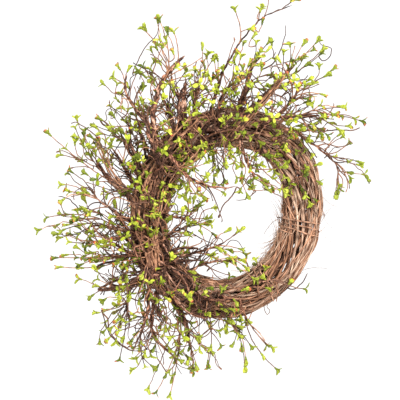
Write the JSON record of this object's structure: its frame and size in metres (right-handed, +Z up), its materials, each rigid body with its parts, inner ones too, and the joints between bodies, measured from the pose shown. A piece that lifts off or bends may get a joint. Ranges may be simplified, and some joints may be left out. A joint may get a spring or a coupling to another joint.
{
  "type": "grapevine wreath",
  "caption": "Grapevine wreath: a ring of wound vine canes with artificial leafy twig sprays over its top, left side and bottom, made to hang on a wall or door",
  "frame": {"origin": "the hanging point: the inside top of the ring, halfway through its depth, where a nail or hook carries it", "axes": "+Z up as it hangs, +X to the right seen from the front, front towards -Y, wall behind it towards +Y"},
  "size_m": [0.4854, 0.1384, 0.6079],
  "materials": {
    "cane": "dry grapevine cane with stringy, peeling bark",
    "tie": "thin dry vine",
    "stem": "rough, knobbly reddish brown coating on a wire core",
    "leaf": "soft moulded leaflets, lime green with darker backs and reddish tips, on thin brown twigs"
  },
  "bodies": {
    "root": {"core_cane": "cane", "middle_cane_1": "cane", "middle_cane_2": "cane", "outer_cane_1": "cane", "outer_cane_2": "cane", "outer_cane_3": "cane", "outer_cane_4": "cane", "outer_cane_5": "cane", "outer_cane_6": "cane", "tie_1": "tie", "tie_2": "tie", "tie_3": "tie", "tie_4": "tie", "spray_left_low_1": "leaf", "spray_left_1": "leaf", "spray_left_2": "leaf", "spray_left_3": "leaf", "spray_upper_left_1": "leaf", "spray_upper_left_2": "leaf", "spray_upper_left_3": "leaf", "spray_upper_left_4": "leaf", "spray_upper_left_5": "leaf", "spray_upper_left_6": "leaf", "spray_top_left_1": "leaf", "spray_top_left_2": "leaf", "spray_top_left_3": "leaf", "stub_top_left_1": "stem", "stub_top_left_2": "leaf", "spray_top_1": "leaf", "spray_top_2": "leaf", "spray_top_3": "leaf", "spray_top_4": "leaf", "spray_top_right_1": "leaf", "spray_top_right_2": "leaf", "spray_right_1": "leaf", "spray_right_2": "leaf", "spray_right_3": "leaf", "spray_hole_top_1": "leaf", "spray_hole_top_2": "leaf", "spray_hole_top_3": "leaf", "twig_hole_top": "stem", "spray_hole_left_1": "leaf", "spray_hole_left_2": "leaf", "spray_hole_low_1": "leaf", "spray_hole_low_2": "leaf", "spray_bottom_left_1": "leaf", "spray_bottom_left_2": "leaf", "spray_bottom_left_3": "leaf", "spray_bottom_1": "leaf", "spray_bottom_2": "leaf", "spray_bottom_3": "leaf", "spray_bottom_4": "leaf", "spray_low_right": "leaf", "spray_front_1": "leaf", "spray_front_2": "leaf", "spray_front_3": "leaf", "spray_front_4": "leaf", "spray_front_5": "leaf"}
  },
  "joints": []
}
